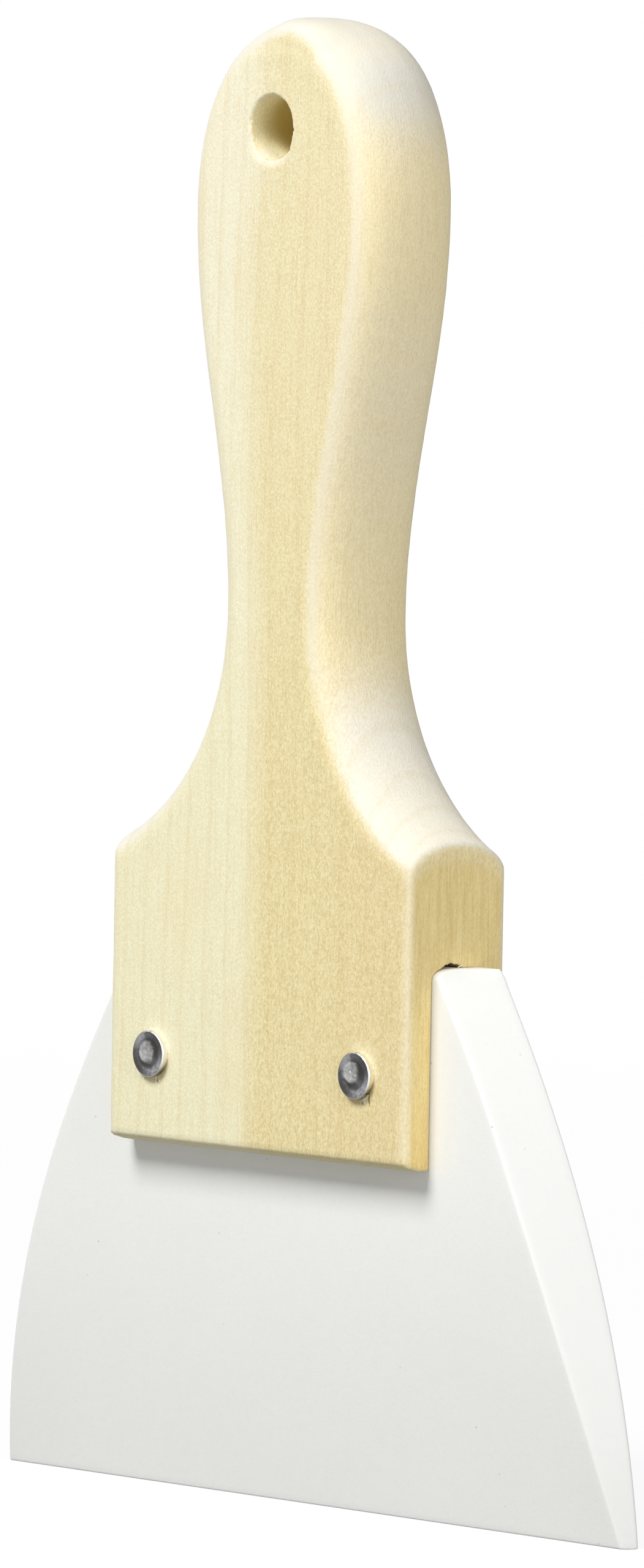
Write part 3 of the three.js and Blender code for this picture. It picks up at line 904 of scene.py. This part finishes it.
def rivet_rings(right):
    """Rings of a rivet from the middle of its front to the middle of its back: radius, depths, marks."""
    head, shank, seat, soft = RIVET_HEAD_RADIUS, RIVET_SHANK_RADIUS, RIVET_SEAT, RIVET_EDGE_RADIUS
    turns = [tau * k / RIVET_TURNS for k in range(RIVET_TURNS)]
    rings = []
    flat = head - soft
    for k in range(RIVET_FACE_RINGS):
        radius = flat * (k + 0.5) / (RIVET_FACE_RINGS - 0.5)
        relief = [set_head(radius, turn, right) for turn in turns]
        near_edge = float(smoothstep(flat - 0.4, flat, radius))
        depths = [-RIVET_FACE + drop * (1 - near_edge) for drop, _ in relief]
        rings.append((radius, depths, [(1.0, *marks) for _, marks in relief]))
    profile = []
    for k in range(1, 9):
        turn = pi / 2 * k / 8
        profile.append((flat + soft * sin(turn), -RIVET_FACE + soft * (1 - cos(turn))))
    profile += [(head, -seat - 0.05), (head - 0.02, -seat)]
    profile += [(shank, -seat), (shank, seat), (head - 0.02, seat)]
    profile += [(head, seat + 0.05 + (RIVET_BACK_RIM - 0.05) * k / 4) for k in range(5)]
    for k in range(1, RIVET_BACK_RINGS + 1):
        radius = head * (1 - k / (RIVET_BACK_RINGS + 0.5))
        profile.append((radius, seat + RIVET_BACK_RIM + RIVET_BACK_DOME * (1 - (radius / head) ** 4)))
    # The rim and wall carry a painted highlight, brightest towards the upper right
    rim_highlight_marks = [(0.0, 0.0, 0.0, max(0.0, cos(turn - radians(35)))) for turn in turns]
    satin = [(0.55, 0.0, 0.35, 0.6)] * RIVET_TURNS
    for radius, depth in profile:
        rings.append((radius, [depth] * RIVET_TURNS, rim_highlight_marks if depth < 0 else satin))
    return turns, rings


def rivet_mesh(name, right):
    points, faces, marks = [], [], []
    turns, rings = rivet_rings(right)
    for radius, depths, values in rings:
        points += [(radius * cos(t), depth, radius * sin(t)) for t, depth in zip(turns, depths)]
        marks += values
    for base in range(0, len(points) - RIVET_TURNS, RIVET_TURNS):
        for k in range(RIVET_TURNS):
            n = (k + 1) % RIVET_TURNS
            faces.append((base + k, base + n, base + RIVET_TURNS + n, base + RIVET_TURNS + k))
    faces.append(tuple(range(RIVET_TURNS)))
    faces.append(tuple(range(len(points) - RIVET_TURNS, len(points))))
    mesh = mesh_from(name, points, faces)
    for mark, values in zip(("face", "groove", "disc", "painted_glint"), zip(*marks)):
        put_attribute(mesh, mark, values)
    return mesh


def add_camera():
    back = Vector((sin(CAMERA_AZIMUTH) * cos(CAMERA_ELEVATION),
                   -cos(CAMERA_AZIMUTH) * cos(CAMERA_ELEVATION), sin(CAMERA_ELEVATION)))
    right = Vector((cos(CAMERA_AZIMUTH), sin(CAMERA_AZIMUTH), 0))
    up = back.cross(right)
    rolled_right = cos(CAMERA_ROLL) * right + sin(CAMERA_ROLL) * up
    rolled_up = -sin(CAMERA_ROLL) * right + cos(CAMERA_ROLL) * up
    place = Matrix((rolled_right, rolled_up, back)).transposed().to_4x4()
    place.translation = CAMERA_AIM + back * CAMERA_DISTANCE
    data = bpy.data.cameras.new("camera")
    data.lens = CAMERA_LENS
    data.sensor_width = CAMERA_SENSOR
    data.clip_end = CAMERA_REACH
    camera = bpy.data.objects.new("camera", data)
    camera.matrix_world = place
    bpy.context.scene.collection.objects.link(camera)
    bpy.context.scene.camera = camera


def add_lamp(name, place, width, height, power):
    data = bpy.data.lights.new(name, "AREA")
    data.shape = "RECTANGLE"
    data.size = width
    data.size_y = height
    data.energy = power
    lamp = bpy.data.objects.new(name, data)
    place = Vector(place)
    lamp.location = place
    lamp.rotation_euler = (LAMP_AIM - place).to_track_quat("-Z", "Y").to_euler()
    bpy.context.scene.collection.objects.link(lamp)


def seen_directly(s):
    """1 for camera, mirror and glass rays, 0 for the rays that light the object."""
    path = s.add("LightPath")
    seen = s.math("MAXIMUM", path.outputs["Is Camera Ray"], path.outputs["Is Glossy Ray"])
    return s.math("MAXIMUM", seen, path.outputs["Is Transmission Ray"])


def add_floor():
    s = Shader("floor")
    seen = seen_directly(s)
    paint = s.add("MapRange", {0: seen, 3: FLOOR_BOUNCE, 4: 1.0}).outputs[0]
    diffuse = s.add("BsdfDiffuse", {"Color": paint})
    glow = s.add("Emission", {"Color": (1, 1, 1, 1), "Strength": 1.0})
    place = s.add("TexCoord").outputs["Object"]
    away = s.add("VectorMath", {0: place}, operation="LENGTH").outputs[1]
    share = s.add("MapRange", {0: away, 1: FLOOR_SHADOW_NEAR, 2: FLOOR_SHADOW_FAR,
                               3: FLOOR_WHITE, 4: 1.0}).outputs[0]
    factor = s.math("MULTIPLY", seen, share)
    surface = s.add("MixShader", {0: factor, 1: diffuse.outputs[0], 2: glow.outputs[0]})
    material = s.finish(surface)
    half = FLOOR_HALF / MM
    corners = [(-half, -half, 0), (half, -half, 0), (half, half, 0), (-half, half, 0)]
    floor = add_object("floor", mesh_from("floor", corners, [(0, 1, 2, 3)]))
    floor.data.materials.append(material)


def add_world():
    world = bpy.data.worlds.new("studio")
    world.use_nodes = True
    bpy.context.scene.world = world
    tree = world.node_tree
    path = tree.nodes.new("ShaderNodeLightPath")
    mirrored = tree.nodes.new("ShaderNodeMath")
    mirrored.operation = "MAXIMUM"
    tree.links.new(path.outputs["Is Glossy Ray"], mirrored.inputs[0])
    tree.links.new(path.outputs["Is Transmission Ray"], mirrored.inputs[1])
    seen = tree.nodes.new("ShaderNodeMath")
    seen.operation = "MAXIMUM"
    tree.links.new(path.outputs["Is Camera Ray"], seen.inputs[0])
    tree.links.new(mirrored.outputs[0], seen.inputs[1])
    level = tree.nodes.new("ShaderNodeMapRange")
    tree.links.new(seen.outputs[0], level.inputs[0])
    level.inputs[3].default_value = WORLD_LEVEL
    level.inputs[4].default_value = 1.0
    background = tree.nodes["Background"]
    background.inputs[0].default_value = (1, 1, 1, 1)
    tree.links.new(level.outputs[0], background.inputs[1])


bpy.context.scene.view_settings.view_transform = "Standard"
add_camera()
add_floor()
add_world()
for name, (place, width, height, power) in LAMPS.items():
    add_lamp(name, place, width, height, power)

wood = wood_material()
silicone = silicone_material()
metal = rivet_material()
add_piece("handle_wood", handle_mesh(), "handle", wood)
add_piece("handle_splinters", splinters_mesh(), None, torn_material())
add_piece("blade_silicone", blade_mesh(), "blade", silicone)
for node, across in RIVET_XS.items():
    mesh = rivet_mesh(node + "_metal", across > 0)
    rivet = add_object(node + "_metal", mesh)
    mesh.materials.append(metal)
    rivet.location = (across * MM, 0, RIVET_HEIGHT * MM)
    bpy.context.view_layer.update()
    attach(rivet, "root")
    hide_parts(node)
